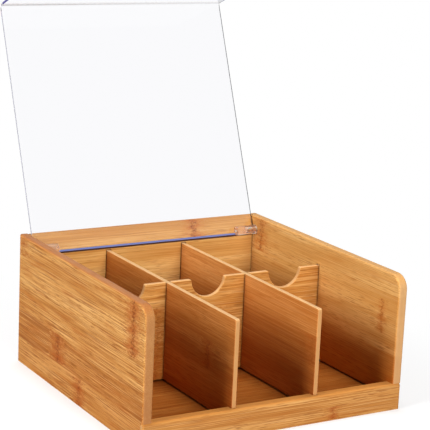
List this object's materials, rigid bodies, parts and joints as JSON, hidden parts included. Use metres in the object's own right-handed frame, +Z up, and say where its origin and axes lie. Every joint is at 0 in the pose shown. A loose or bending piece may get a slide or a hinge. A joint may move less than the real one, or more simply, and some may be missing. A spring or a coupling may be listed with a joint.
{
  "type": "wooden compartment box",
  "caption": "Low bamboo box divided into compartments, with finger scoops, an open front above a low rail and a clear bent lid hinged at the back.",
  "frame": {"origin": "the middle of the whole outline seen from above, open lid included, on the surface that the box stands on", "axes": "+Z up, the open front faces -Y, +X to the right as seen from the front; the hinge axis is along X"},
  "size_m": [0.23, 0.2935, 0.3211],
  "materials": {
    "bamboo_board": "caramelised bamboo board, sanded, satin lacquer",
    "bamboo_panel": "caramelised bamboo panel, satin lacquer",
    "bamboo_divider": "thin caramelised bamboo board, satin lacquer",
    "clear_acrylic": "clear polished acrylic",
    "brass_pin": "drawn brass, satin"
  },
  "bodies": {
    "box": {"side_left": "bamboo_board", "side_right": "bamboo_board", "back_panel": "bamboo_board", "front_rail": "bamboo_board", "floor_panel": "bamboo_panel", "divider_left": "bamboo_divider", "divider_right": "bamboo_divider", "cross_divider": "bamboo_divider", "hinge_pin_left": "brass_pin", "hinge_pin_right": "brass_pin"},
    "lid": {"lid": "clear_acrylic", "hinge_barrel_left": "clear_acrylic", "hinge_barrel_right": "clear_acrylic"}
  },
  "joints": [
    {"name": "lid_hinge", "type": "hinge", "parent": "box", "child": "lid", "pos_m": [0, 0.06475, 0.0977], "axis": [1, 0, 0], "range_deg": [0, 111.98]}
  ]
}
